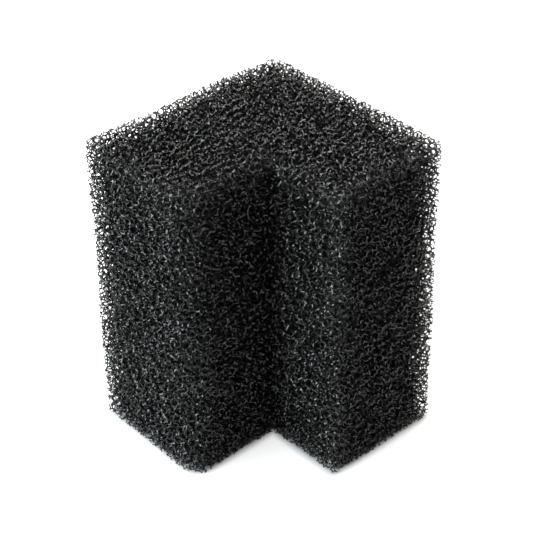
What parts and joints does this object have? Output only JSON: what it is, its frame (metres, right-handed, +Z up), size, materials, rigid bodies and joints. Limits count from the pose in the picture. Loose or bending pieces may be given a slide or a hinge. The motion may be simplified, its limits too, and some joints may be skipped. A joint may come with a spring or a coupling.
{
  "type": "aquarium filter sponge block",
  "caption": "Upright block of coarse black open-cell filter foam with a square corner notch cut through from top to bottom; water is strained as it passes through.",
  "frame": {"origin": "centre of the plan's bounding rectangle, on the base that the block stands on", "axes": "+Z up along the block's height; the notch is cut out of the +X, -Y corner, so one arm runs along -Y and the other along +X"},
  "size_m": [0.054, 0.0556, 0.077],
  "materials": {
    "foam": "black open-cell polyurethane foam, soft, faint gloss on the cell struts"
  },
  "bodies": {
    "root": {"foam_block": "foam"}
  },
  "joints": []
}
